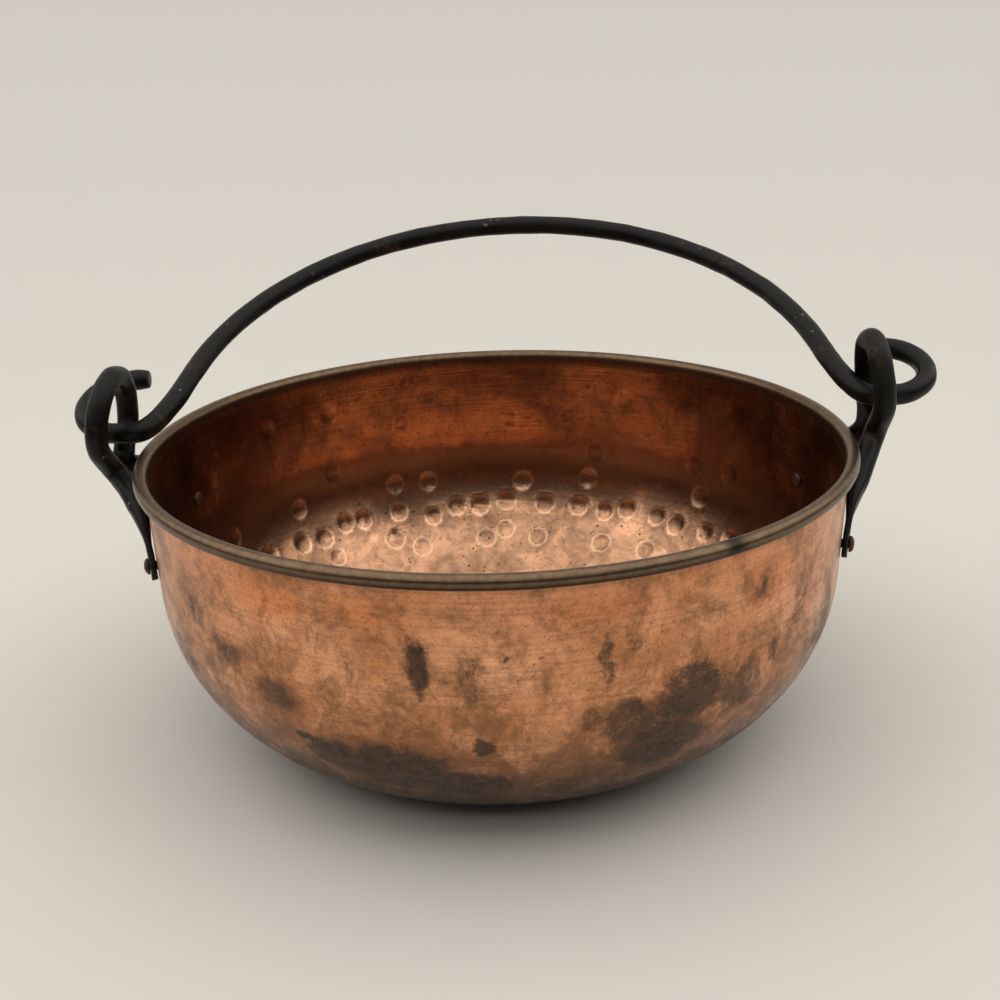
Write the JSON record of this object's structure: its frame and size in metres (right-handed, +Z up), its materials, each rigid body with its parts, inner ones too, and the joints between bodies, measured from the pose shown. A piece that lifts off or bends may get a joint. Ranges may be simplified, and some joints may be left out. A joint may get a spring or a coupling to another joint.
{
  "type": "cauldron",
  "caption": "Round hammered copper cauldron with a rolled rim, riveted forged iron ears and a swinging iron bail handle.",
  "frame": {"origin": "centre of the flat base's underside", "axes": "+Z up out of the bowl's mouth, +X towards the right ear along the bail's hinge line, -Y towards the front"},
  "size_m": [0.371, 0.3, 0.1922],
  "materials": {
    "copper": "satin",
    "iron": "satin"
  },
  "bodies": {
    "pot": {"bowl": "copper", "rim_wire": "iron", "ear_left": "iron", "ear_right": "iron", "rivet_left_front": "iron", "rivet_left_back": "iron", "rivet_right_front": "iron", "rivet_right_back": "iron"},
    "handle": {"bail": "iron"}
  },
  "joints": [
    {"name": "bail_swing", "type": "hinge", "parent": "pot", "child": "handle", "pos_m": [0, 0, 0.1315], "axis": [0.9998, 0, 0.0187], "range_deg": [-22.2, 160.2]}
  ]
}
